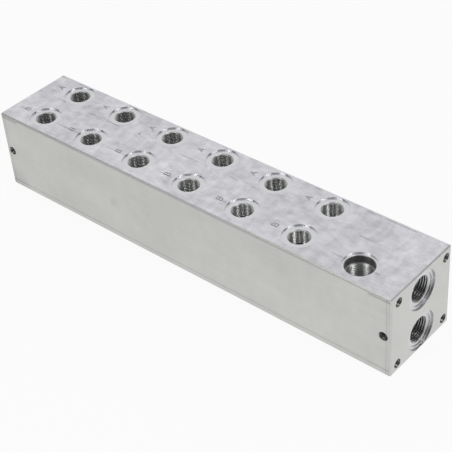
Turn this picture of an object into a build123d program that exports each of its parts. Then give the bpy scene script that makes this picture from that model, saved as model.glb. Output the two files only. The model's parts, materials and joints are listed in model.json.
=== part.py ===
from build123d import *
import os
from math import radians, tan

# Hydraulic manifold block: one bar of aluminium, milled on all six sides and
# drilled, spotfaced and tapped for six directional valves of size ISO 4401-03.
# Frame: X along the bar, Y across it, Z up. The origin is the middle of the
# underside. The valves bolt to the back (+Y), the hoses screw into the top.

os.makedirs("parts", exist_ok=True)

# ---------------------------------------------------------------- the bar
block_width = 68.5
block_height = 68.0
edge_chamfer = 0.8

# ---------------------------------------------------------------- stations
station_count = 6
station_pitch = 50.0
first_station_inset = 34.5  # left end face to the first station
relief_step = 50.0  # last station to the relief valve cavity
relief_inset = 36.5  # relief valve cavity to the right end face

# ---------------------------------------------------------------- drills
drill_point_half_angle = 59.0
overrun = 2.0  # how far every cutter starts outside the bar

# ---------------------------------------------------------------- galleries
gallery_bore = 14.0
lower_gallery_height = 15.5  # pressure
gallery_pitch = 36.0  # pressure gallery up to tank gallery

# ---------------------------------------------------------------- work ports
row_spacing = 37.0  # A row to B row
row_midline = 1.25  # midline of the rows, off the bar's own midline
work_spotface_bore = 25.0
work_spotface_depth = 1.0
work_mouth_bore = 16.4
work_thread_bore = 14.95  # G3/8, minor diameter
work_thread_depth = 13.0
work_passage_bore = 11.0

# ---------------------------------------------------------------- end ports
end_spotface_bore = 30.0
end_spotface_depth = 1.2
end_seal_bore = 25.0
end_seal_depth = 0.6
end_mouth_bore = 20.2
end_thread_bore = 18.63  # G1/2, minor diameter
end_thread_depth = 15.0

# ---------------------------------------------------------------- end bolts
end_bolt_pattern = 54.2
bolt_thread_bore = 6.65  # M8, minor diameter
bolt_mouth_bore = 7.2
bolt_thread_depth = 12.0

# ---------------------------------------------------------------- feet
foot_inset = 5.9  # end face to the foot bolt
foot_height = 34.0

# ---------------------------------------------------------------- relief cavity
relief_land_bore = 24.8
relief_land_depth = 1.0
relief_mouth_bore = 21.8
relief_collar_bore = 21.1
relief_collar_depth = 7.7
relief_thread_bore = 18.38  # M20 x 1.5, minor diameter
relief_thread_depth = 22.0
relief_chamber_bore = 16.0
relief_chamber_depth = 33.0
relief_nose_bore = 12.7
link_bore = 6.0
link_mouth_offset = 3.0  # beside the end port's axis, where the link is drilled in
link_rise = 10.0  # tank gallery down to where its link meets the cavity

# ---------------------------------------------------------------- valve faces
valve_face_height = 38.5  # underside to the middle of each valve's ports
valve_work_offset = 8.75  # A above the middle, B below it
valve_feed_offset = 10.4  # P to the left of the middle, T to the right
valve_work_bore = 7.0
valve_feed_bore = 6.5
valve_bolt_bore = 4.2  # M5, minor diameter
valve_bolt_depth = 13.0
valve_upper_bolt_rise = 21.45
valve_upper_bolt_offset = 15.5
valve_lower_bolt_drop = 19.05
valve_lower_bolt_offset = 16.25

# ---------------------------------------------------------------- worked-out places
block_length = (
    first_station_inset
    + (station_count - 1) * station_pitch
    + relief_step
    + relief_inset
)
left = -block_length / 2
right = block_length / 2
front = -block_width / 2
back = block_width / 2
stations = [
    left + first_station_inset + station * station_pitch
    for station in range(station_count)
]
row_a = row_midline + row_spacing / 2
row_b = row_midline - row_spacing / 2
upper_gallery_height = lower_gallery_height + gallery_pitch
galleries = [lower_gallery_height, upper_gallery_height]
end_middle_height = (lower_gallery_height + upper_gallery_height) / 2
relief_x = right - relief_inset
valve_a_height = valve_face_height + valve_work_offset
valve_b_height = valve_face_height - valve_work_offset


def point_length(bore):
    """How far the cone of a twist drill reaches past its full bore."""
    return bore / 2 / tan(radians(drill_point_half_angle))


def turned_cutter(*corners):
    """A cutter turned about Z, pointing down from a mouth at z = 0.

    Each corner of its outline is (bore, depth). The last bore ends in a
    drill point.
    """
    first_bore = corners[0][0]
    last_bore, last_depth = corners[-1]
    outline = [(0, overrun), (first_bore / 2, overrun)]
    outline += [(bore / 2, -depth) for bore, depth in corners]
    outline.append((0, -last_depth - point_length(last_bore)))
    with BuildPart() as cutter:
        with BuildSketch(Plane.XZ):
            with BuildLine():
                Polyline(*outline, close=True)
            make_face()
        revolve(axis=Axis.Z)
    return cutter.part


def work_port_cutter(passage_height):
    """Spotface, lead-in and thread of a hose port, and its passage down to a height."""
    mouth_depth = work_spotface_depth
    thread_end = mouth_depth + work_thread_depth
    return turned_cutter(
        (work_spotface_bore, mouth_depth),
        (work_mouth_bore, mouth_depth),
        (work_thread_bore, mouth_depth + (work_mouth_bore - work_thread_bore) / 2),
        (work_thread_bore, thread_end),
        (
            work_passage_bore,
            thread_end + point_length(work_thread_bore) - point_length(work_passage_bore),
        ),
        (work_passage_bore, block_height - passage_height),
    )


def end_port_cutter():
    """Spotface, seal recess, lead-in and thread of a port at the end of a gallery."""
    seal_end = end_spotface_depth + end_seal_depth
    return turned_cutter(
        (end_spotface_bore, end_spotface_depth),
        (end_seal_bore, end_spotface_depth),
        (end_seal_bore, seal_end),
        (end_mouth_bore, seal_end),
        (end_thread_bore, seal_end + (end_mouth_bore - end_thread_bore) / 2),
        (end_thread_bore, seal_end + end_thread_depth),
    )


def tapped_hole_cutter(mouth_bore, thread_bore, thread_depth):
    """A blind tapped hole with a countersunk mouth."""
    return turned_cutter(
        (mouth_bore, 0),
        (thread_bore, (mouth_bore - thread_bore) / 2),
        (thread_bore, thread_depth),
    )


def relief_cavity_cutter():
    """Land, collar, thread, chamber and nose of the cartridge valve's cavity."""
    mouth_step = (relief_mouth_bore - relief_collar_bore) / 2
    lead_step = (relief_collar_bore - relief_thread_bore) / 2
    chamber_start = (
        relief_thread_depth
        + point_length(relief_thread_bore)
        - point_length(relief_chamber_bore)
    )
    nose_start = (
        relief_chamber_depth
        + point_length(relief_chamber_bore)
        - point_length(relief_nose_bore)
    )
    return turned_cutter(
        (relief_land_bore, relief_land_depth),
        (relief_mouth_bore, relief_land_depth),
        (relief_collar_bore, relief_land_depth + mouth_step),
        (relief_collar_bore, relief_collar_depth),
        (relief_thread_bore, relief_collar_depth + lead_step),
        (relief_thread_bore, relief_thread_depth),
        (relief_chamber_bore, chamber_start),
        (relief_chamber_bore, relief_chamber_depth),
        (relief_nose_bore, nose_start),
        (relief_nose_bore, block_height - lower_gallery_height),
    )


def drill_between(bore, start, end):
    """A straight drilling that begins outside the start point and ends at the end point."""
    path = Vector(*end) - Vector(*start)
    outside = Vector(*start) - path.normalized() * overrun
    with Locations(Plane(origin=outside, z_dir=path)):
        Cylinder(
            radius=bore / 2,
            height=path.length + overrun,
            align=(Align.CENTER, Align.CENTER, Align.MIN),
            mode=Mode.SUBTRACT,
        )


def end_plane(side, height, across=row_midline):
    """A plane on the end face at side -1 or +1, facing outwards."""
    return Plane(origin=(side * right, across, height), x_dir=(0, 1, 0), z_dir=(side, 0, 0))


def back_plane(along, height):
    """A plane on the back face, facing outwards."""
    return Plane(origin=(along, back, height), x_dir=(-1, 0, 0), z_dir=(0, 1, 0))


with BuildPart() as manifold_block:
    # the milled bar with its edges broken
    with BuildSketch():
        Rectangle(block_length, block_width)
    extrude(amount=block_height)
    chamfer(manifold_block.edges(), length=edge_chamfer)

    # hose ports A and B of each station, in two rows on the top
    with Locations(*[(x, row_a, block_height) for x in stations]):
        add(work_port_cutter(valve_a_height), mode=Mode.SUBTRACT)
    with Locations(*[(x, row_b, block_height) for x in stations]):
        add(work_port_cutter(valve_b_height), mode=Mode.SUBTRACT)

    # pressure and tank galleries from end to end, with a port at each end
    for height in galleries:
        with Locations(end_plane(1, height)):
            Cylinder(
                radius=gallery_bore / 2,
                height=block_length,
                align=(Align.CENTER, Align.CENTER, Align.MAX),
                mode=Mode.SUBTRACT,
            )
    with Locations(*[end_plane(side, height) for side in (-1, 1) for height in galleries]):
        add(end_port_cutter(), mode=Mode.SUBTRACT)

    # tapped holes at the corners of the right end face, for an end plate
    half_pattern = end_bolt_pattern / 2
    corners = [
        (row_midline + across * half_pattern, end_middle_height + up * half_pattern)
        for across in (-1, 1)
        for up in (-1, 1)
    ]
    bolt_cutter = tapped_hole_cutter(bolt_mouth_bore, bolt_thread_bore, bolt_thread_depth)
    with Locations(*[end_plane(1, up, across) for across, up in corners]):
        add(bolt_cutter, mode=Mode.SUBTRACT)

    # tapped holes for the feet, one at each end of the front
    with Locations(
        *[
            Plane(
                origin=(side * (right - foot_inset), front, foot_height),
                x_dir=(1, 0, 0),
                z_dir=(0, -1, 0),
            )
            for side in (-1, 1)
        ]
    ):
        add(bolt_cutter, mode=Mode.SUBTRACT)

    # relief valve cavity, and the two links drilled to it through the right-hand ports
    with Locations((relief_x, row_b, block_height)):
        add(relief_cavity_cutter(), mode=Mode.SUBTRACT)
    link_y = row_midline + link_mouth_offset
    drill_between(
        link_bore,
        (right, link_y, upper_gallery_height),
        (relief_x, row_b, upper_gallery_height - link_rise),
    )
    drill_between(
        link_bore,
        (right, link_y, lower_gallery_height),
        (relief_x, row_b, lower_gallery_height),
    )

    # valve faces on the back: A, B, P and T, and four bolts for each station
    for x in stations:
        drill_between(valve_work_bore, (x, back, valve_a_height), (x, row_a, valve_a_height))
        drill_between(valve_work_bore, (x, back, valve_b_height), (x, row_b, valve_b_height))
        for along, height in [
            (x - valve_feed_offset, lower_gallery_height),
            (x + valve_feed_offset, upper_gallery_height),
        ]:
            drill_between(
                valve_feed_bore,
                (along, back, valve_face_height),
                (along, row_midline, height),
            )
        with Locations(
            back_plane(x - valve_upper_bolt_offset, valve_face_height + valve_upper_bolt_rise),
            back_plane(x + valve_upper_bolt_offset, valve_face_height + valve_upper_bolt_rise),
            back_plane(x - valve_lower_bolt_offset, valve_face_height - valve_lower_bolt_drop),
            back_plane(x + valve_lower_bolt_offset, valve_face_height - valve_lower_bolt_drop),
        ):
            Hole(radius=valve_bolt_bore / 2, depth=valve_bolt_depth)

manifold_block.part.label = "manifold_block"
export_step(manifold_block.part, "parts/manifold_block.step")
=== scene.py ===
# %% [markdown]
# # A drilled hydraulic manifold block
#
# The real object is one bar of aluminium. It is cut from a drawn bar, milled on top and underneath,
# faced on its ends, and then drilled, spotfaced, tapped and engraved. This lesson makes it as the
# workshop does: a bar is made first, and closed tool shapes are then taken out of it. The CAD model
# gives the sizes and places, and stays hidden behind this finer copy, which also has the cut
# threads. The CAD mesh could be dressed as it is, but then its threaded holes would be smooth.

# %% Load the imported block
import json
from math import cos, pi, radians, sin, sqrt, tan

import bmesh
import bpy
import numpy as np
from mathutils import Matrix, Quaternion, Vector


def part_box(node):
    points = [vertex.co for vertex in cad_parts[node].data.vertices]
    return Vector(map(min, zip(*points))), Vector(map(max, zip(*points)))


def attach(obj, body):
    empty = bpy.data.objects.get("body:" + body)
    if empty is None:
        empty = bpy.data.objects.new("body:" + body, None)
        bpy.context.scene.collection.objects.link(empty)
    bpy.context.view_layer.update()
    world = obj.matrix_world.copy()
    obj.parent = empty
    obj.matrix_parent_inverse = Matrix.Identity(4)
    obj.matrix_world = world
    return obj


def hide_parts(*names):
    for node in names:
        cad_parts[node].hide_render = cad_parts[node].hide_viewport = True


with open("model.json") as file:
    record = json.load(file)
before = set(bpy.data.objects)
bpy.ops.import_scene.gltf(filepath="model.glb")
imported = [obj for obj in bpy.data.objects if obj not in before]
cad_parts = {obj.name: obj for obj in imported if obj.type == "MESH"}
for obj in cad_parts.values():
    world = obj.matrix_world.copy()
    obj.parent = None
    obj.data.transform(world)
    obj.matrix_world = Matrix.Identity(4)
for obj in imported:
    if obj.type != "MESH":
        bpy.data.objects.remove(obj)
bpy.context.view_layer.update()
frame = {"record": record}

MM = 0.001
low, high = (np.array(corner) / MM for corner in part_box("manifold_block"))
left, front, underside = low
right, back, top = high
print("bar, in mm:", np.round(high - low, 2))

# %% [markdown]
# ## Where the holes are
#
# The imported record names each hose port, bolt hole and cavity as a mount, with its place and
# axis. Reading them from there keeps this copy true to the CAD model. All shapes are worked out in
# millimetres, as on a drawing, and become metres when they are made a mesh.

# %% Read the places of the holes
def mounts_named(start):
    """The record's mounts whose name begins with start."""
    return [mount for mount in frame["record"]["mounts"] if mount["name"].startswith(start)]


def place_of(mount):
    """A mount's point, in millimetres."""
    return np.array(mount["pos_m"]) / MM


def mouth_of(mount):
    """The point where a mount's axis leaves the bar, and the outward direction."""
    axis = np.array(mount["axis"], float)
    face = np.where(axis > 0, high, low)
    return np.where(axis != 0, face, place_of(mount)), axis


def pattern_mouths(mount):
    """The mouths of a bolt pattern's holes: its centre plus and minus half of each spacing."""
    mouth, axis = mouth_of(mount)
    first, second = np.eye(3)[axis == 0]
    sizes = mount["dims"]
    half_x = sizes.get("spacing_x_mm", 0) / 2
    half_y = sizes.get("spacing_y_mm", 0) / 2
    offsets = {(i * half_x, j * half_y) for i in (-1, 1) for j in (-1, 1)}
    return [(mouth + x * first + y * second, axis) for x, y in sorted(offsets)]


ports_a = [mouth_of(mount) for mount in mounts_named("port_a")]
ports_b = [mouth_of(mount) for mount in mounts_named("port_b")]
end_ports = [mouth_of(mount) for mount in mounts_named("port_lower") + mounts_named("port_upper")]
relief_mouth = mouth_of(mounts_named("relief_cavity")[0])
end_bolts = pattern_mouths(mounts_named("end_bolts")[0])
foot_bolts = pattern_mouths(mounts_named("foot_bolts")[0])
stations = sorted(mouth[0] for mouth, axis in ports_a)
row_a, row_b = ports_a[0][0][1], ports_b[0][0][1]
row_midline = (row_a + row_b) / 2
gallery_heights = sorted({round(float(mouth[2]), 3) for mouth, axis in end_ports})
print(len(ports_a), "A ports,", len(ports_b), "B ports, galleries at", gallery_heights)

# %% [markdown]
# ## A shell on a grid
#
# A hole is what a tool leaves behind, so each hole starts as the shape of its tool. Blender's Spin
# could turn a profile into that shape, but a grid of points worked out by numpy is quicker, and it
# also serves for threads and letters. The grid runs round an axis and is closed by a point at each
# end. A helper turns it into triangles, welds points that fall together and drops triangles that
# have shrunk to a line, so that the shell is watertight.

# %% Turn a grid into a closed shell
DRILL_POINT = radians(59)
OVERRUN = 2.0


def welded(points, triangles):
    """The same shell with equal points made one, and without triangles that lost a side."""
    _, kept, place = np.unique(
        np.round(points, 5), axis=0, return_index=True, return_inverse=True
    )
    triangles = place.reshape(-1)[triangles]
    a, b, c = triangles.T
    return points[kept], triangles[(a != b) & (b != c) & (c != a)]


def wrapped_shell(grid, top_point, end_point, lead=0):
    """A closed shell from a grid of rows (top to bottom) by columns (round the axis).

    The last column joins the first, lead rows further up, and each end is a fan to its point.
    """
    rows, columns = grid.shape[:2]
    index = np.arange(rows * columns).reshape(rows, columns)
    here = index[lead:, :]
    beside = np.roll(index, -1, axis=1)[lead:, :].copy()
    beside[:, -1] = index[: rows - lead, 0]
    a, b, c, d = here[:-1], here[1:], beside[1:], beside[:-1]
    walls = np.concatenate([np.stack([a, b, c], -1), np.stack([a, c, d], -1)]).reshape(-1, 3)
    top_index, end_index = rows * columns, rows * columns + 1
    first, last = index[0], index[-1]
    top_fan = np.stack([np.full(columns, top_index), first, np.roll(first, -1)], -1)
    end_fan = np.stack([np.full(columns, end_index), np.roll(last, -1), last], -1)
    points = np.concatenate([grid.reshape(-1, 3), [top_point], [end_point]])
    return welded(points, np.concatenate([walls, top_fan, end_fan]))


def point_length(bore):
    """The length of a drill's cone: half its bore over the tangent of its half angle."""
    return bore / 2 / tan(DRILL_POINT)


def turned(corners, segments, flat=False):
    """A turned tool that points down from z = 0: radius r(d) carried round Z.

    corners are (bore, depth) pairs from the mouth down. It ends in a drill point or flat.
    """
    bores, depths = np.array([(corners[0][0], -OVERRUN)] + list(corners), float).T
    angle = np.linspace(0, 2 * pi, segments, endpoint=False)
    grid = np.stack(
        [
            np.outer(bores / 2, np.cos(angle)),
            np.outer(bores / 2, np.sin(angle)),
            np.repeat(-depths[:, None], segments, axis=1),
        ],
        -1,
    )
    tip = depths[-1] + (0 if flat else point_length(bores[-1]))
    return wrapped_shell(grid, (0, 0, OVERRUN), (0, 0, -tip))


print("the point of a 10 mm drill is", round(point_length(10), 2), "mm long")


# %% [markdown]
# ## A tap as a shell
#
# A tap cuts a groove that climbs one pitch in each turn. The grid's rows follow that helix, so that
# the crests and the roots of the thread are clean lines. Rows that would pass the ends are held at
# the ends, and the weld closes them. Near the deep end the groove fades, as a real tap leaves it.

# %% Make a tap
THREAD_CLEARANCE = 0.02
FADE_TURNS = 1.5
METRIC = (1 / 8, 1 / 4)  # flat root and flat crest, as shares of the pitch
PIPE = (1 / 6, 1 / 6)


def tap(size, cone_depth, form):
    """A threaded tool: radius = minor + depth x profile(phase), phase = (z - climb) / pitch.

    The profile is a trapezium with a flat root, two straight flanks and a flat crest. The thread
    starts a little inside the lead-in cone, which begins at cone_depth below the mouth.
    """
    pitch, start, end = size["pitch"], cone_depth + size["cut_in"], size["tapped"]
    minor = size["bore"] / 2 + THREAD_CLEARANCE
    depth = size["major"] / 2 - minor
    root_edge, crest_edge = form[0] / 2, (1 - form[1]) / 2
    corners = np.array([crest_edge, root_edge, -root_edge, -crest_edge])
    turns = np.arange(2 - np.floor(start / pitch), -np.ceil(end / pitch) - 3, -1)
    rise = (turns[:, None] + corners).reshape(-1) * pitch
    angle = np.linspace(0, 2 * pi, size["tap_sides"], endpoint=False)
    climb = pitch * angle / (2 * pi)
    height = np.clip(rise[:, None] + climb, -end, -start)
    phase = ((height - climb) / pitch + 0.5) % 1 - 0.5
    profile = np.clip((crest_edge - np.abs(phase)) / (crest_edge - root_edge), 0, 1)
    fade = np.clip((height + end) / (FADE_TURNS * pitch), 0, 1)
    radius = minor + depth * profile * fade
    grid = np.stack([radius * np.cos(angle), radius * np.sin(angle), height], -1)
    return wrapped_shell(grid, (0, 0, -start), (0, 0, -end), lead=len(corners))


# %% [markdown]
# ## Taking tools out of the bar
#
# Tools that don't touch each other are gathered into one mesh, so that one Boolean modifier takes
# them all. The Manifold solver is quick and leaves a watertight bar, as long as each tool is closed.

# %% Place tools, and cut with them
def placed(shell, mouth, axis):
    """A shell turned so that its Z is the axis, and moved to the mouth."""
    points, triangles = shell
    turn = np.array(Vector((0, 0, 1)).rotation_difference(Vector(axis)).to_matrix())
    return points @ turn.T + mouth, triangles


def drill_between(bore, start, end, segments=40):
    """A plain drill from outside the start point to the end point."""
    path = np.array(end, float) - np.array(start, float)
    length = np.linalg.norm(path)
    shell = turned([(bore, 0), (bore, length)], segments, flat=True)
    return placed(shell, np.array(start, float), -path / length)


def gathered(shells):
    """Several shells as one."""
    counts = np.cumsum([0] + [len(points) for points, _ in shells])
    points = np.concatenate([points for points, _ in shells])
    triangles = np.concatenate([triangles + n for (_, triangles), n in zip(shells, counts)])
    return points, triangles


def mesh_from(name, shell):
    """A Blender mesh in metres from a shell in millimetres."""
    points, triangles = shell
    mesh = bpy.data.meshes.new(name)
    mesh.from_pydata((points * MM).tolist(), [], triangles.tolist())
    return mesh


def cut(piece, shells):
    """Take the shells out of the piece, and keep the result as its mesh."""
    tool = bpy.data.objects.new("tool", mesh_from("tool", gathered(shells)))
    bpy.context.scene.collection.objects.link(tool)
    boolean = piece.modifiers.new("cut", "BOOLEAN")
    boolean.operation = "DIFFERENCE"
    boolean.solver = "MANIFOLD"
    boolean.object = tool
    bpy.context.view_layer.update()
    graph = bpy.context.evaluated_depsgraph_get()
    mesh = bpy.data.meshes.new_from_object(piece.evaluated_get(graph))
    piece.modifiers.clear()
    piece.data = mesh
    bpy.data.objects.remove(tool)


def triangle_count(piece):
    """How many triangles a piece's faces make: each face's corners less two."""
    return sum(len(face.vertices) - 2 for face in piece.data.polygons)


# %% [markdown]
# ## The bar
#
# A sawn and milled bar has its edges broken by a small flat chamfer, which catches the light as a
# thin line. It is a box whose eight corners are each cut back to three points. Its sides are then
# divided into cells: a Boolean leaves one large face with many holes in it badly joined, and small
# faces well.

# %% Make the bar
EDGE_CHAMFER = 0.8
CELL = 7.5


def chamfered_bar(lowest, highest, edge):
    """A box with flat chamfers: the hull of its corners, each moved in along two axes at a time.

    Planes at even steps along each axis divide its sides into cells.
    """
    points = []
    for corner in np.ndindex(2, 2, 2):
        inward = 1 - 2 * np.array(corner)
        tip = np.where(corner, highest, lowest)
        points += [tip + edge * inward * (np.arange(3) != axis) for axis in range(3)]
    shape = bmesh.new()
    for point in points:
        shape.verts.new(point * MM)
    bmesh.ops.convex_hull(shape, input=shape.verts)
    for normal, start, end in zip(np.eye(3), lowest, highest):
        cells = round((end - start) / CELL)
        for at in np.linspace(start, end, cells + 1)[1:-1]:
            whole = shape.verts[:] + shape.edges[:] + shape.faces[:]
            bmesh.ops.bisect_plane(shape, geom=whole, plane_co=normal * at * MM, plane_no=normal)
    bmesh.ops.recalc_face_normals(shape, faces=shape.faces)
    mesh = bpy.data.meshes.new("milled_block")
    shape.to_mesh(mesh)
    shape.free()
    return mesh


block = bpy.data.objects.new("milled_block", chamfered_bar(low, high, EDGE_CHAMFER))
bpy.context.scene.collection.objects.link(block)
print("bar:", len(block.data.polygons), "cells")

# %% [markdown]
# ## Hose ports, end ports and bolt holes
#
# Each is one turned tool. A hose port has a wide, shallow spotface for its seal, a short lead-in
# and a bore at the thread's minor diameter, and then a narrower passage to the valve. The sizes of
# all threaded holes come first, in millimetres. The first line of each is for the drill and the
# second for the tap: cut_in is how far inside the cone the thread starts, tapped is how deep it
# goes, and sides and tap_sides are the numbers of flats that stand for a round.

# %% Sizes of the turned holes
WORK = dict(
    spotface=25.0, depth=1.0, lead=16.4, bore=14.95, sides=96,
    major=16.662, pitch=1.337, cut_in=0.1, tapped=13.4, tap_sides=48,
)
WORK_THREAD, WORK_PASSAGE = 13.0, 11.0
END = dict(
    spotface=30.0, depth=1.2, lead=20.2, bore=18.63, sides=128,
    major=20.955, pitch=1.814, cut_in=0.2, tapped=16.2, tap_sides=56,
)
END_SEAL, END_SEAL_DEPTH, END_THREAD = 25.0, 0.6, 15.0
BOLT = dict(
    lead=7.2, bore=6.65, depth=12.0, sides=48,
    major=8.0, pitch=1.25, cut_in=0.15, tapped=11.5, tap_sides=32,
)
VALVE_BOLT = dict(
    lead=5.3, bore=4.2, depth=13.0, sides=20,
    major=5.0, pitch=0.8, cut_in=0.1, tapped=4.5, tap_sides=20,
)
RELIEF = dict(
    collar=21.1, collar_depth=7.9, lead=19.6, bore=18.38, depth=22.0, sides=128,
    major=20.0, pitch=1.5, cut_in=0.4, tapped=21.5, tap_sides=64,
)
RELIEF_LAND, RELIEF_LAND_DEPTH, RELIEF_MOUTH = 24.8, 1.0, 21.8
RELIEF_CHAMBER, RELIEF_CHAMBER_DEPTH, RELIEF_NOSE = 16.0, 33.0, 12.7
GALLERY = 14.0

# valve faces of size ISO 4401-03 on the back
VALVE_MIDDLE, VALVE_WORK, VALVE_FEED = 38.5, 8.75, 10.4
VALVE_WORK_BORE, VALVE_FEED_BORE = 7.0, 6.5
VALVE_BOLTS = [(-15.5, 21.45), (15.5, 21.45), (-16.25, -19.05), (16.25, -19.05)]
LINK, LINK_OFFSET, LINK_RISE = 6.0, 3.0, 10.0
print("hose thread", WORK["major"], "mm, end thread", END["major"], "mm, gallery", GALLERY, "mm")


# %% [markdown]
# A turned tool is a list of corners, read from the mouth downwards. Each pair is a bore and the
# depth at which it is reached. Cylinders, cones and steps all come from the same list, so one
# function could turn any of them, and the form of each hole stays easy to read.

# %% Shape the turned tools
def lead_in(size, depth):
    """Two corners of a 45 degree lead-in at a depth."""
    return [(size["lead"], depth), (size["bore"], depth + (size["lead"] - size["bore"]) / 2)]


def work_port(passage_depth):
    """Spotface, lead-in, thread bore, and the passage to the valve."""
    end = WORK["depth"] + WORK_THREAD
    step = point_length(WORK["bore"]) - point_length(WORK_PASSAGE)
    corners = [(WORK["spotface"], WORK["depth"])] + lead_in(WORK, WORK["depth"])
    corners += [(WORK["bore"], end), (WORK_PASSAGE, end + step), (WORK_PASSAGE, passage_depth)]
    return turned(corners, WORK["sides"])


def end_port():
    """Spotface, seal recess, lead-in and thread bore."""
    seal_end = END["depth"] + END_SEAL_DEPTH
    corners = [(END["spotface"], END["depth"]), (END_SEAL, END["depth"]), (END_SEAL, seal_end)]
    corners += lead_in(END, seal_end) + [(END["bore"], seal_end + END_THREAD)]
    return turned(corners, END["sides"])


def bolt_hole(size, flat=False):
    """A countersunk bolt hole at the thread's minor diameter."""
    return turned(lead_in(size, 0) + [(size["bore"], size["depth"])], size["sides"], flat)


def relief_cavity():
    """Land, mouth chamfer, collar, ledge, lead-in, thread bore, chamber and nose."""
    depth = RELIEF_LAND_DEPTH
    corners = [(RELIEF_LAND, depth), (RELIEF_MOUTH, depth)]
    corners.append((RELIEF["collar"], depth + (RELIEF_MOUTH - RELIEF["collar"]) / 2))
    corners.append((RELIEF["collar"], RELIEF["collar_depth"]))
    corners += lead_in(RELIEF, RELIEF["collar_depth"])
    corners.append((RELIEF["bore"], RELIEF["depth"]))
    bores = [RELIEF["bore"], RELIEF_CHAMBER, RELIEF_NOSE]
    ends = [RELIEF["depth"], RELIEF_CHAMBER_DEPTH, top - gallery_heights[0]]
    for wide, narrow, start, end in zip(bores, bores[1:], ends, ends[1:]):
        corners.append((narrow, start + point_length(wide) - point_length(narrow)))
        corners.append((narrow, end))
    return turned(corners, RELIEF["sides"])


print("each end port is", END["depth"] + END_SEAL_DEPTH + END_THREAD, "mm deep before its drill point")

# %% [markdown]
# Copies of these tools are placed at their mouths and taken out together. A work port's passage
# goes down to its own hole in the valve face: the A ports to the upper one, the B ports to the
# lower one. The holes for the valves' own screws are in a pattern round the middle of each valve.

# %% Drill and spotface the bar
valve_mouths = [
    (np.array([x + along, back, VALVE_MIDDLE + up]), (0, 1, 0))
    for x in stations
    for along, up in VALVE_BOLTS
]
tools = [placed(work_port(top - VALVE_MIDDLE - VALVE_WORK), *mouth) for mouth in ports_a]
tools += [placed(work_port(top - VALVE_MIDDLE + VALVE_WORK), *mouth) for mouth in ports_b]
tools += [placed(end_port(), *mouth) for mouth in end_ports]
tools += [placed(bolt_hole(BOLT), *mouth) for mouth in end_bolts + foot_bolts]
tools += [placed(bolt_hole(VALVE_BOLT, flat=True), *mouth) for mouth in valve_mouths]
tools.append(placed(relief_cavity(), *relief_mouth))
cut(block, tools)
print("after the turned tools:", len(block.data.polygons), "faces")

# %% [markdown]
# ## The drilled circuit
#
# Two galleries run from end to end, the lower one for pressure and the upper one for tank. From
# each valve face two straight passages reach the hose ports, and two slanted ones the galleries.
# Drillings that meet belong to different rounds, so that no round's tools overlap.

# %% Drill the circuit
galleries = [
    drill_between(GALLERY, (right, row_midline, z), (left - OVERRUN, row_midline, z), 64)
    for z in gallery_heights
]
passages = [
    drill_between(VALVE_WORK_BORE, (x, back, z), (x, y, z))
    for x in stations
    for y, z in ((row_a, VALVE_MIDDLE + VALVE_WORK), (row_b, VALVE_MIDDLE - VALVE_WORK))
]
cut(block, galleries + passages)
feeds = [
    drill_between(VALVE_FEED_BORE, (x + side, back, VALVE_MIDDLE), (x + side, row_midline, z))
    for x in stations
    for side, z in zip((-VALVE_FEED, VALVE_FEED), gallery_heights)
]
relief_x, relief_y = relief_mouth[0][:2]
links = [
    drill_between(LINK, (right, row_midline + LINK_OFFSET, z), (relief_x, relief_y, z - drop))
    for z, drop in zip(gallery_heights, (0.0, LINK_RISE))
]
cut(block, feeds + links)
print("after the circuit:", len(block.data.polygons), "faces")

# %% [markdown]
# ## Threads
#
# The taps follow the drills, in the same mouths. A bump in the material could imitate a thread, but
# light that falls into a port shows each real flank, so the grooves are cut. A port's thread starts
# inside its lead-in cone, so the first groove opens on the cone as it does on a real part.

# %% Tap the holes
threads = [
    (tap(WORK, WORK["depth"], PIPE), ports_a + ports_b),
    (tap(END, END["depth"] + END_SEAL_DEPTH, PIPE), end_ports),
    (tap(BOLT, 0, METRIC), end_bolts + foot_bolts),
    (tap(VALVE_BOLT, 0, METRIC), valve_mouths),
    (tap(RELIEF, RELIEF["collar_depth"], METRIC), [relief_mouth]),
]
cut(block, [placed(shell, *mouth) for shell, mouths in threads for mouth in mouths])
print("after the taps:", triangle_count(block), "triangles")

# %% [markdown]
# ## Port letters
#
# Beside each hose port a single letter is engraved with a round-nosed cutter: A for the row at the
# back and B for the row in front. Each stroke is a shell of its own, and strokes that cross go
# into different rounds.

# %% Engrave the letters
STROKE_RADIUS, STROKE_DEPTH, STROKE_ABOVE = 0.36, 0.2, 0.5
CAP_ROWS, STROKE_COLUMNS, BOWL_POINTS = 4, 7, 9
LETTER_HEIGHT, LETTER_OFFSET = 4.6, 20.6


def stroke(path):
    """A groove along a path: depth x (1 - (distance / radius)^2), round at both ends.

    Its columns run across the groove, and two more close it above the metal.
    """
    path = np.array(path, float)
    steps = np.diff(path, axis=0)
    steps /= np.linalg.norm(steps, axis=1)[:, None]
    along = np.concatenate([steps[:1], steps[:-1] + steps[1:], steps[-1:]])
    along /= (along**2).sum(1)[:, None] / np.concatenate([[1], [2] * (len(steps) - 1), [1]])[:, None]
    beyond = np.sin(np.linspace(0, pi / 2, CAP_ROWS + 1))[1:]
    out = np.concatenate([-beyond[::-1], np.zeros(len(path)), beyond])
    at = np.concatenate([[0] * CAP_ROWS, np.arange(len(path)), [len(path) - 1] * CAP_ROWS])
    middle = path[at] + STROKE_RADIUS * out[:, None] * along[at]
    half = np.sqrt(1 - out**2)
    across = np.stack([-along[at][:, 1], along[at][:, 0]], -1) * STROKE_RADIUS
    share = np.linspace(1, -1, STROKE_COLUMNS)
    side = np.concatenate([share, [-1, 1]])[None, :] * half[:, None]
    depth = STROKE_DEPTH * (1 - out[:, None] ** 2 - side**2)
    depth[:, STROKE_COLUMNS:] = -STROKE_ABOVE
    flat = middle[:, None, :] + side[..., None] * across[:, None, :]
    grid = np.concatenate([flat, -depth[..., None]], -1)
    centre_line = grid[:, STROKE_COLUMNS // 2]
    return wrapped_shell(grid, centre_line[0], centre_line[-1])


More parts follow.
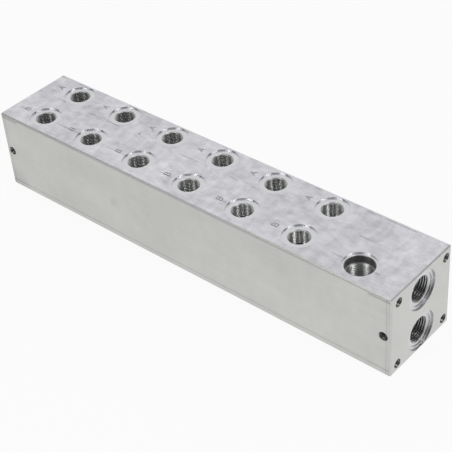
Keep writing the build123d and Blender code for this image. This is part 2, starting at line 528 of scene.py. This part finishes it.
def bowl(low_end, high_end, reach):
    """The curve of a B's bowl, from one end of it on the stem to the other."""
    angle = np.linspace(-pi / 2, pi / 2, BOWL_POINTS)
    half, centre = (high_end - low_end) / 2, (high_end + low_end) / 2
    curve = [(reach - half + half * cos(a), centre + half * sin(a)) for a in angle]
    return [(0, low_end)] + curve + [(0, high_end)]


# shares of a letter's height
A_WIDTH, A_BAR = 0.8, 0.35
B_WIDTH, B_WAIST, B_UPPER = 0.66, 0.52, 0.92
bar_inset = A_BAR * A_WIDTH / 2
bar = [(bar_inset, A_BAR), (A_WIDTH - bar_inset, A_BAR)]
LETTERS = {
    "A": [[(0, 0), (A_WIDTH / 2, 1), (A_WIDTH, 0)], bar],
    "B": [[(0, 0), (0, 1)], bowl(B_WAIST, 1, B_WIDTH * B_UPPER), bowl(0, B_WAIST, B_WIDTH)],
}
LETTER_WIDTH = {"A": A_WIDTH, "B": B_WIDTH}


def engraved(letter, port, strokes):
    """Some strokes of a letter, standing up towards the left end beside its port."""
    x, y, z = port
    shells = []
    for path in strokes:
        flat = (np.array(path) - (LETTER_WIDTH[letter] / 2, 0.5)) * LETTER_HEIGHT
        points, triangles = stroke(np.stack([-flat[:, 1], flat[:, 0]], -1))
        shells.append((points + (x - LETTER_OFFSET, y, z), triangles))
    return shells


for turn in range(max(len(strokes) for strokes in LETTERS.values())):
    round_of_strokes = []
    for letter, mouths in (("A", ports_a), ("B", ports_b)):
        for mouth, axis in mouths:
            round_of_strokes += engraved(letter, mouth, LETTERS[letter][turn : turn + 1])
    cut(block, round_of_strokes)
print("after the letters:", triangle_count(block), "triangles")

# %% [markdown]
# ## Surfaces
#
# The workshop leaves a different surface with each tool. Faces could be picked by hand in Edit
# Mode, but rules on where a face lies also hold when a size changes. A face in the plane of a side
# was milled, drawn or faced. A slanted one close to two sides, or in the cone that leads into a
# port, is a broken edge. A shallow one just under the top was engraved. A flat floor or a wall near
# a side was spotfaced. All others were drilled, turned or tapped. The relief valve's thread and the
# bolt threads are given a darker colour, which is painted shade deep in these holes. The step
# round an end port and the collar of the relief cavity were turned more coarsely than the step
# round a hose port, and their darker colour is painted shade in these recesses.

# %% Sort the faces
SURFACES = ["top", "front", "end", "edge", "spotface", "wall", "ring", "bore", "thread", "letter"]
FLOOR_DEPTH, CONE_REACH, BOLT_REACH = 3.0, 2.3, 20.0
CLOSE, HAIR, TOUCHING = 0.1, 0.01, 0.001
# how far a face looks outwards: 0 is a wall and 1 is flat
TILTED, UPRIGHT, SLOPE, SLOPE_SPREAD, FLAT = 0.05, 0.1, sqrt(0.5), 0.03, 0.999


def face_vectors(mesh, name):
    """A vector of each face, one row each."""
    values = np.empty(len(mesh.polygons) * 3)
    mesh.polygons.foreach_get(name, values)
    return values.reshape(-1, 3)


def from_mouth(points, mouth, axis):
    """How far points lie below a hole's mouth, and how far from its axis."""
    offset = points - mouth
    up = offset @ axis
    return -up, np.linalg.norm(offset - up[:, None] * axis, axis=1)


def sorted_faces(mesh):
    """For each face, the number of its surface in SURFACES. Where rules meet, the later wins."""
    centre, normal = face_vectors(mesh, "center") / MM, np.abs(face_vectors(mesh, "normal"))
    depth = np.minimum(centre - low, high - centre)
    nearest, shallow = depth.argmin(1), depth.min(1)
    outward = normal[np.arange(len(normal)), nearest]
    upright = (shallow < END["depth"]) & (outward < UPRIGHT)
    down, across = from_mouth(centre, *relief_mouth)
    cavity = (across < RELIEF["collar"] / 2 + CLOSE) & (down > CONE_REACH) & (down < RELIEF["depth"])
    bolts = np.zeros(len(centre), bool)
    for mouth in end_bolts + foot_bolts:
        below, beside = from_mouth(centre, *mouth)
        bolts |= (beside < BOLT["major"] / 2 + CLOSE) & (below < BOLT_REACH)
    rules = [
        ("wall", upright),
        ("ring", upright & (nearest == 0)),
        ("edge", (shallow < CONE_REACH) & (np.abs(outward - SLOPE) < SLOPE_SPREAD)),
        ("ring", cavity),
        ("thread", cavity & (down > RELIEF["collar_depth"] + CLOSE)),
        ("thread", bolts),
        ("spotface", (normal.max(1) > FLAT) & (shallow < FLOOR_DEPTH)),
        ("letter", (top - centre[:, 2] < STROKE_DEPTH + HAIR) & (normal[:, 2] > TILTED)),
        ("edge", ((normal > 0.5).sum(1) >= 2) & ((depth < EDGE_CHAMFER).sum(1) >= 2)),
        ("end", depth[:, 0] < TOUCHING),
        ("front", depth[:, 1] < TOUCHING),
        ("top", depth[:, 2] < TOUCHING),
    ]
    surface = np.full(len(centre), SURFACES.index("bore"))
    for name, chosen in rules:
        surface[chosen] = SURFACES.index(name)
    return surface


surface = sorted_faces(block.data)
for number, name in enumerate(SURFACES):
    print(name, (surface == number).sum(), "faces")

# %% [markdown]
# The floor of a spotface carries the rings of its tool. A material could hold every hole's place,
# but that is long. Each face therefore keeps the point on its hole's axis that lies level with it,
# as an attribute, and the finish measures its rings from there.

# %% Give each face its hole's axis
def turning_centres(mesh, mouths):
    """For each face, the nearest point to its centre on the nearest hole's axis."""
    centre = face_vectors(mesh, "center") / MM
    mouth, axis = (np.array(part, float) for part in zip(*mouths))
    offset = centre[:, None] - mouth[None]
    level = (offset * axis).sum(-1, keepdims=True) * axis
    nearest = np.linalg.norm(offset - level, axis=-1).argmin(1)
    rows = np.arange(len(centre))
    return mouth[nearest] + level[rows, nearest]


mouths = ports_a + ports_b + end_ports + [relief_mouth] + end_bolts + foot_bolts
centres = block.data.attributes.new("turning_centre", "FLOAT_VECTOR", "FACE")
centres.data.foreach_set("vector", turning_centres(block.data, mouths).ravel())
print("rings can turn about", len(mouths), "axes")

# %% [markdown]
# The holes are shaded smooth, with sharp edges where the surface turns by more than 30 degrees. The
# corners of a thread turn by about 60 degrees, but a tap leaves them slightly round, so they stay
# smooth. The Weighted Normal modifier then keeps the wide flanks straight and bends the light on
# the narrow crests and roots.

# %% Round the thread's corners with light
CORNER, THREAD_CORNER = radians(30), (radians(55), radians(66))


def sharpen(mesh):
    """Mark each edge sharp where its faces turn, apart from a thread's corners. Returns the count."""
    grid = bmesh.new()
    grid.from_mesh(mesh)
    for edge in grid.edges:
        turn = edge.calc_face_angle(0)
        edge.smooth = turn < CORNER or THREAD_CORNER[0] < turn < THREAD_CORNER[1]
    sharp = sum(not edge.smooth for edge in grid.edges)
    grid.to_mesh(mesh)
    grid.free()
    return sharp


block.data.shade_smooth()
print("sharp edges:", sharpen(block.data))
rounded = block.modifiers.new("rounded_crests", "WEIGHTED_NORMAL")
rounded.mode, rounded.weight, rounded.keep_sharp = "FACE_AREA", 88, True

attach(block, "root")
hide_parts("manifold_block")

# %% [markdown]
# ## Shader sums in Python
#
# A finish is worked out from a point's place on the block: which cutter lane it lies in, how far
# it is from an edge, or how a soft noise falls there. Node by node that is long to read, so one
# small class lets Python's own operators add the Math nodes, and another adds any other node.

# %% Write shader sums as Python
class Wire:
    """One output of a node. Python's operators on it add Math nodes beside it."""

    def __init__(self, finish, socket):
        self.finish, self.socket = finish, socket

    def __add__(self, other):
        return self.finish.math("ADD", self, other)

    def __sub__(self, other):
        return self.finish.math("SUBTRACT", self, other)

    def __rsub__(self, other):
        return self.finish.math("SUBTRACT", other, self)

    def __mul__(self, other):
        return self.finish.math("MULTIPLY", self, other)

    def __abs__(self):
        return self.finish.math("ABSOLUTE", self)

    __radd__ = __add__
    __rmul__ = __mul__


class Finish:
    """The nodes of a material or a world. Uniform values are set on its shader."""

    def __init__(self, owner, shader, uniform):
        owner.use_nodes = True
        self.owner, self.tree = owner, owner.node_tree
        self.shader = self.tree.nodes[shader]
        self.fill(self.shader, uniform)

    def fill(self, node, inputs):
        """Set or link the inputs of a node."""
        for place, value in inputs.items():
            if isinstance(value, Wire):
                self.tree.links.new(value.socket, node.inputs[place])
            else:
                node.inputs[place].default_value = value

    def node(self, kind, settings, inputs, output=0):
        """Add a node: its settings first, then its inputs. Its output comes back as a Wire."""
        node = self.tree.nodes.new("ShaderNode" + kind)
        for name, value in settings.items():
            setattr(node, name, value)
        self.fill(node, inputs)
        return Wire(self, node.outputs[output])

    def math(self, operation, *terms):
        """A Math node on its terms."""
        return self.node("Math", {"operation": operation}, dict(enumerate(terms)))

    def axes(self, vector):
        """The three numbers of a vector."""
        return [self.node("SeparateXYZ", {}, {0: vector}, output=name) for name in "XYZ"]

    def ramp(self, value, start, end):
        """0 up to start, 1 from end on, and a smooth step between them."""
        settings = {"interpolation_type": "SMOOTHSTEP"}
        return self.node("MapRange", settings, {0: value, 1: start, 2: end, 3: 0.0, 4: 1.0})

    def along(self, vector, direction):
        """How far a vector reaches along a direction."""
        settings = {"operation": "DOT_PRODUCT"}
        return self.node("VectorMath", settings, {0: vector, 1: direction}, output="Value")


# %% [markdown]
# ## Light, floor and background
#
# A metal shows the room around it more than its own colour, so the room is lit as a studio
# lights a polished product: a pale backdrop behind it, a dark side where the camera stands, two
# soft boxes beside the camera and a pale floor. An image of a studio could light the block too, but
# a few sums in the world give the backdrop and the dark side, and area lamps are the soft boxes.
# What the camera itself sees of the world is plain white.

# %% Place the camera's direction
AZIMUTH, ELEVATION, ROLL = radians(43.72), radians(38.39), radians(-4.90)
towards = Vector((sin(AZIMUTH) * cos(ELEVATION), -cos(AZIMUTH) * cos(ELEVATION), sin(ELEVATION)))
print("the camera looks down from", [round(t, 3) for t in towards])

# %% [markdown]
# The world is worked out from the direction in which light comes. ahead is how far that direction
# points away from the camera, and height how far it points up. The backdrop fades in from the
# block's sides, ends overhead at 53 to 68 degrees, and is brighter towards its top.

# %% Light the room
BACKDROP, DARK_SIDE = 1.0, 0.16
BACKDROP_FADE, BACKDROP_TOP = 0.5, (0.80, 0.93)
BACKDROP_LOW, BACKDROP_RISE = 0.70, 0.48
world = bpy.data.worlds.new("studio_room")
room = Finish(world, "Background", {"Color": (1, 1, 1, 1)})
direction = room.node("TexCoord", {}, {}, output="Generated")
ahead = room.along(direction, (-sin(AZIMUTH), cos(AZIMUTH), 0))
height = room.axes(direction)[2]
behind = room.ramp(ahead, 0.0, BACKDROP_FADE) * (1 - room.ramp(height, *BACKDROP_TOP))
backdrop = behind * (BACKDROP_LOW + BACKDROP_RISE * height)
light = DARK_SIDE + (BACKDROP - DARK_SIDE) * backdrop
seen = room.node("LightPath", {}, {}, output="Is Camera Ray")
room.fill(room.shader, {"Strength": seen + (1 - seen) * light})
bpy.context.scene.world = world
print("the world has", len(world.node_tree.nodes), "nodes")

# %% [markdown]
# Two tall soft boxes stand left and right of the camera. Each bore is a round mirror that shows
# them as two bright streaks, and each spotface's wall is dark between them. A weak strip above the
# camera lights the cones at the mouths. Each lamp faces the block, and its angles are counted from
# the camera's own side. Spot lamps would give small, hard points in place of the streaks.

# %% Stand the lamps
LAMP_DISTANCE = 2.0


def soft_box(name, azimuth, elevation, width, height, power):
    """An area lamp that faces the block, at an angle from the camera's side."""
    angle = AZIMUTH + radians(azimuth)
    lift = radians(elevation)
    away = Vector((sin(angle) * cos(lift), -cos(angle) * cos(lift), sin(lift)))
    lamp = bpy.data.lights.new(name, "AREA")
    lamp.shape, lamp.size, lamp.size_y, lamp.energy = "RECTANGLE", width, height, power
    holder = bpy.data.objects.new(name, lamp)
    holder.location = away * LAMP_DISTANCE
    holder.rotation_mode = "QUATERNION"
    holder.rotation_quaternion = away.to_track_quat("Z", "Y")
    bpy.context.scene.collection.objects.link(holder)
    print(name, "is", round(holder.location.z, 2), "m above the floor")


soft_box("soft_box_right", 52, 43, 0.38, 0.75, 9)
soft_box("soft_box_left", -52, 43, 0.38, 0.75, 9)
soft_box("overhead_strip", 0, 62, 0.20, 0.40, 0.7)

# %% [markdown]
# The floor is a wide round sheet of white paper. Where the camera or the metal sees it, it mostly
# glows by itself, so it is white without any more light on the block. The rest of it is plain
# paper, which keeps the block's soft shadow.

# %% Lay the floor
FLOOR_RADIUS, PAPER, GLOW = 4.0, 0.88, 0.92


def disc(radius, corners=96):
    """A round sheet at height 0, with its corners at an even angle."""
    angle = np.linspace(0, 2 * pi, corners, endpoint=False)
    ring = np.stack([radius * np.cos(angle), radius * np.sin(angle), np.zeros(corners)], -1)
    mesh = bpy.data.meshes.new("floor")
    mesh.from_pydata(ring.tolist(), [], [list(range(corners))])
    return mesh


floor = bpy.data.objects.new("floor", disc(FLOOR_RADIUS))
bpy.context.scene.collection.objects.link(floor)
paper = Finish(bpy.data.materials.new("white_paper"), "Principled BSDF", {
    "Base Color": (PAPER, PAPER, PAPER, 1), "Roughness": 1.0, "Specular IOR Level": 0.0})
glow = paper.node("Emission", {}, {"Color": (1, 1, 1, 1), "Strength": 1.0})
camera_ray = paper.node("LightPath", {}, {}, output="Is Camera Ray")
glossy_ray = paper.node("LightPath", {}, {}, output="Is Glossy Ray")
surface_shader = Wire(paper, paper.shader.outputs["BSDF"])
share = GLOW * (camera_ray + glossy_ray)
mixed = paper.node("MixShader", {}, {0: share, 1: surface_shader, 2: glow})
paper.fill(paper.tree.nodes["Material Output"], {"Surface": mixed})
floor.data.materials.append(paper.owner)
print("the floor is", 2 * FLOOR_RADIUS, "m wide")

# %% [markdown]
# ## A metal that varies
#
# All ten finishes are the same bare aluminium, as each tool left it. Image textures could carry
# the marks, but sums on the block's own place stay sharp at any distance and need no file. A finish
# starts from a colour and a roughness, and multiplies the colour by a shade that is 1 on plain
# metal.

# %% Start a metal
class Metal(Finish):
    """Bare aluminium, with the point on the block in millimetres as place, x, y and z."""

    def __init__(self, name):
        material = bpy.data.materials.new(name)
        super().__init__(material, "Principled BSDF", {"Metallic": 1.0})
        metres = self.node("TexCoord", {}, {}, output="Object")
        self.place = self.scaled(metres, 1 / MM)
        self.x, self.y, self.z = self.axes(self.place)

    def scaled(self, vector, share):
        """A vector or colour times a number."""
        return self.node("VectorMath", {"operation": "SCALE"}, {0: vector, "Scale": share})

    def noise(self, size, stretch=(1, 1, 1), detail=3.0, vector=None):
        """A soft noise about 0, whose patches are size times stretch across."""
        scale = tuple(1 / (size * part) for part in stretch)
        source = vector or self.place
        small = self.node("VectorMath", {"operation": "MULTIPLY"}, {0: source, 1: scale})
        return self.node("TexNoise", {}, {"Vector": small, "Scale": 1.0, "Detail": detail}) - 0.5

    def band(self, value, start, end, soft):
        """1 between start and end, and 0 outside, with soft borders."""
        return self.ramp(value, start - soft, start) * (1 - self.ramp(value, end, end + soft))

    def spot(self, point, radius):
        """1 at a point, fading to 0 at a radius."""
        settings = {"operation": "DISTANCE"}
        away = self.node("VectorMath", settings, {0: self.place, 1: point}, output="Value")
        return 1 - self.ramp(away, 0.2 * radius, radius)

    def finish(self, colour, shade, roughness, height, depth):
        """Set the colour times its shade, the roughness, and a bump of height times depth."""
        normal = self.node("Bump", {}, {"Height": height, "Distance": depth * MM})
        colours = self.scaled(colour, shade)
        self.fill(self.shader, {"Base Color": colours, "Roughness": roughness, "Normal": normal})
        return self.owner


# %% [markdown]
# ## The milled top and underside
#
# A face mill went along the bar in lanes. It left fine arcs, one for each turn of the cutter, and
# a broken line where two lanes meet. The oxide on old aluminium clouds the whole face a little.

# %% Make the milled finish
LANE, LANE_LINE, CUTTER, FEED = 25.0, 6.6, 25.0, 0.9
PIT, PIT_RADIUS = (-74.2, 8.2), 1.4


def milled_finish():
    """Arcs at x - sqrt(CUTTER**2 - across**2), lane lines, clouds, one small pit."""
    metal = Metal("milled_top")
    across = metal.math("FLOORED_MODULO", metal.y - LANE_LINE, LANE) - LANE / 2
    to_line = LANE / 2 - abs(across)
    arc = metal.x - metal.math("SQRT", CUTTER**2 - across * across)
    turns = metal.math("SINE", arc * (2 * pi / FEED))
    sweep = metal.node("CombineXYZ", {}, {0: arc, 1: metal.y})
    arcs = metal.noise(5.0, (1, 12, 1), 2.0, sweep)
    clouds = metal.noise(34.0, (1.5, 1, 1), 3.0)
    mottle = metal.noise(6.0, (1.4, 1, 1), 5.0)
    grain = metal.noise(0.8, (9, 1, 1), 2.0)
    dashes = metal.ramp(metal.noise(16.0, (1, 3, 1), 2.0), -0.02, 0.10)
    line = (1 - metal.ramp(to_line, 0.25, 0.8)) * dashes
    pit = metal.spot((*PIT, top), PIT_RADIUS)
    shade = 1 + 0.50 * clouds + 0.80 * mottle + 0.45 * arcs + 0.35 * grain - 0.30 * line - 0.6 * pit
    roughness = 0.40 + 0.25 * mottle + 0.15 * arcs
    height = 0.25 * turns + 0.5 * grain - 2.0 * line - 8.0 * pit
    return metal.finish((0.645, 0.645, 0.680), shade, roughness, height, 0.002)


# %% [markdown]
# ## The drawn sides
#
# The front and the back were drawn through a die and only lightly faced. They are matt, with faint
# draw lines along the bar, a darker strip near the lower edge, a worn line under the upper one
# and short marks of the clamp at the ends. Each mark is a band of heights, or of distances from
# the nearer end, with soft borders. Towards the lower corner at the left end of the front, painted
# shade darkens the side.

# %% Make the side finish
STRIP, CLAMP, WORN = (4.4, 5.4), (64.3, 65.1), (0.8, 2.2)
RIM, SCRIBED, CLAMP_END = (2.0, 2.6), (3.2, 3.8), (17, 19)
STAINS = [(-66.0, 33.0, 6.0), (-30.0, 37.0, 3.0)]  # x, z and radius
# where the painted shade at the front's lower left corner is centred, and how far it reaches
PAINTED_SHADE_INSET, PAINTED_SHADE_REACH = 4.0, 20.0


def side_finish():
    """Draw lines along x, strips at set heights, stains, and painted shade at the lower left corner.
    """
    metal = Metal("drawn_side")
    clouds = metal.noise(40.0, (2.2, 1, 1), 2.0)
    mottle = metal.noise(9.0, (1, 1, 1.6), 4.0)
    draw_lines = metal.noise(1.1, (60, 1, 1), 3.0)
    grain = metal.noise(0.7, (3, 1, 1), 2.0)
    from_end = right - abs(metal.x)
    near_end = 1 - metal.ramp(from_end, *CLAMP_END)
    strip = metal.band(metal.z, *STRIP, 0.4) * (0.7 + 0.3 * near_end)
    worn = metal.band(top - metal.z, *WORN, 0.4)
    clamp = near_end * metal.band(metal.z, *CLAMP, 0.3)
    rim = 1 - metal.ramp(from_end, *RIM)
    scribed = metal.band(from_end, *SCRIBED, 0.3)
    stains = sum(metal.spot((x, front, z), radius) for x, z, radius in STAINS)
    # painted shade: the front darkens towards its lower corner at the left end
    corner = metal.spot((left + PAINTED_SHADE_INSET, front, PAINTED_SHADE_INSET), PAINTED_SHADE_REACH)
    dark = 0.20 * strip + 0.22 * worn + 0.34 * clamp + 0.06 * rim + 0.16 * scribed + 0.08 * stains
    # this adds the painted shade of the lower left corner to the darker marks
    dark = dark + 0.14 * corner
    shade = 1 + 0.22 * clouds + 0.22 * mottle + 0.12 * draw_lines + 0.10 * grain - dark
    roughness = 0.46 + 0.2 * mottle
    height = 0.5 * draw_lines + 0.6 * grain - 1.5 * strip - 2.0 * clamp
    return metal.finish((0.585, 0.585, 0.568), shade, roughness, height, 0.002)


# %% [markdown]
# ## The ends
#
# Each end was sawn and then faced by one wide cutter, so its marks are long, shallow arcs about a
# centre far outside the bar.

# %% Make the end finish
FACING_CENTRE = (0.0, -60.0, -90.0)
END_RIM = (1.2, 1.8)


def end_finish():
    """Rings about a point far below the bar, with clouds."""
    metal = Metal("faced_end")
    flat = metal.node("VectorMath", {"operation": "MULTIPLY"}, {0: metal.place, 1: (0, 1, 1)})
    settings = {"operation": "DISTANCE"}
    radius = metal.node("VectorMath", settings, {0: flat, 1: FACING_CENTRE}, output="Value")
    sweep = metal.node("CombineXYZ", {}, {0: radius, 1: metal.y * 0.04})
    rings = metal.noise(0.9, (1, 1, 1), 3.0, sweep)
    clouds = metal.noise(22.0, (1, 1, 1), 3.0)
    mottle = metal.noise(4.0, (1, 1, 1), 4.0)
    rim = 1 - metal.ramp(back - abs(metal.y), *END_RIM)
    shade = 1 + 0.16 * clouds + 0.12 * mottle + 0.10 * rings - 0.05 * rim
    roughness = 0.40 + 0.2 * mottle
    return metal.finish((0.605, 0.610, 0.588), shade, roughness, rings, 0.002)


# %% [markdown]
# ## Turned floors, bores, edges and letters
#
# A spotface is brighter than the milled face around it, because its tool burnished it in close
# rings. Inside the bores the metal is smooth, and its darker colour is painted shade of the holes.
# The broken edges and the engraved letters keep the scraped, darker look of a small tool.

# %% Make the finishes of the small tools
RING_PITCH = 0.35


def spotface_finish():
    """Rings about the hole's axis, which each face keeps as turning_centre."""
    metal = Metal("turned_floor")
    axis = metal.node("Attribute", {"attribute_name": "turning_centre"}, {}, output="Vector")
    settings = {"operation": "DISTANCE"}
    radius = metal.node("VectorMath", settings, {0: metal.place, 1: axis}, output="Value")
    rings = metal.math("SINE", radius * (2 * pi / RING_PITCH))
    uneven = metal.noise(0.5, (1, 1, 1), 2.0, metal.node("CombineXYZ", {}, {0: radius}))
    mottle = metal.noise(3.0, (1, 1, 1), 3.0)
    shade = 1 + 0.10 * uneven + 0.12 * mottle
    roughness = 0.32 + 0.1 * uneven
    return metal.finish((0.650, 0.652, 0.674), shade, roughness, 0.4 * rings + uneven, 0.002)


def small_tool_finish(name, colour, roughness, size, strength):
    """A noise of one size in the shade, the roughness and the bump."""
    metal = Metal(name)
    marks = metal.noise(size, (1, 1, 1), 3.0)
    soft = metal.noise(12.0, (1, 1, 1), 2.0)
    shade = 1 + strength * marks + 0.15 * soft
    return metal.finish(colour, shade, roughness + 0.1 * marks, marks, 0.001)


# %% [markdown]
# Each surface now gets its finish. A piece holds its materials in numbered slots, in the order of
# the list of surfaces, and each face holds the number of its slot.

# %% Give each face its finish
finishes = {
    "top": milled_finish(),
    "front": side_finish(),
    "end": end_finish(),
    "edge": small_tool_finish("broken_edge", (0.60, 0.60, 0.60), 0.50, 1.5, 0.3),
    "wall": small_tool_finish("cut_wall", (0.90, 0.90, 0.92), 0.44, 1.0, 0.2),
    # painted shade: the darker colour stands for the shade on the end ports' steps and the relief
    # cavity's collar
    "ring": small_tool_finish("turned_ring_painted_shade", (0.52, 0.50, 0.51), 0.38, 1.0, 0.3),
    "spotface": spotface_finish(),
    # painted shade: the darker colour stands for the shade inside the drilled and tapped holes
    "bore": small_tool_finish("bore_painted_shade", (0.41, 0.42, 0.41), 0.25, 2.0, 0.15),
    # painted shade: the darker colour stands for the shade deep in the relief cavity and the bolt
    # holes
    "thread": small_tool_finish("thread_painted_shade", (0.30, 0.31, 0.30), 0.36, 1.0, 0.9),
    "letter": small_tool_finish("engraved_letter", (0.34, 0.34, 0.36), 0.45, 0.6, 0.5),
}
block.data.materials.clear()
for name in SURFACES:
    block.data.materials.append(finishes[name])
block.data.polygons.foreach_set("material_index", surface)
print(len(finishes), "finishes on", len(surface), "faces")

# %% [markdown]
# ## Camera and colour view
#
# A long lens from a little way off keeps the bar's edges nearly parallel, as in a catalogue. The
# camera looks along the direction that the lights were placed from, and is rolled a little.

# %% Set the camera
AIM = Vector((22.5, -7.2, 34.0)) * MM
DISTANCE, LENS = 0.907, 99.67
camera = bpy.data.objects.new("camera", bpy.data.cameras.new("camera"))
bpy.context.scene.collection.objects.link(camera)
camera.location = AIM + towards * DISTANCE
camera.rotation_mode = "QUATERNION"
camera.rotation_quaternion = towards.to_track_quat("Z", "Y") @ Quaternion((0, 0, 1), ROLL)
camera.data.lens = LENS
bpy.context.scene.camera = camera
print("the camera is", DISTANCE, "m from the middle of the bar")

# %% [markdown]
# The Standard view shows colours as they are written.

# %% Finish
bpy.context.scene.view_settings.view_transform = "Standard"
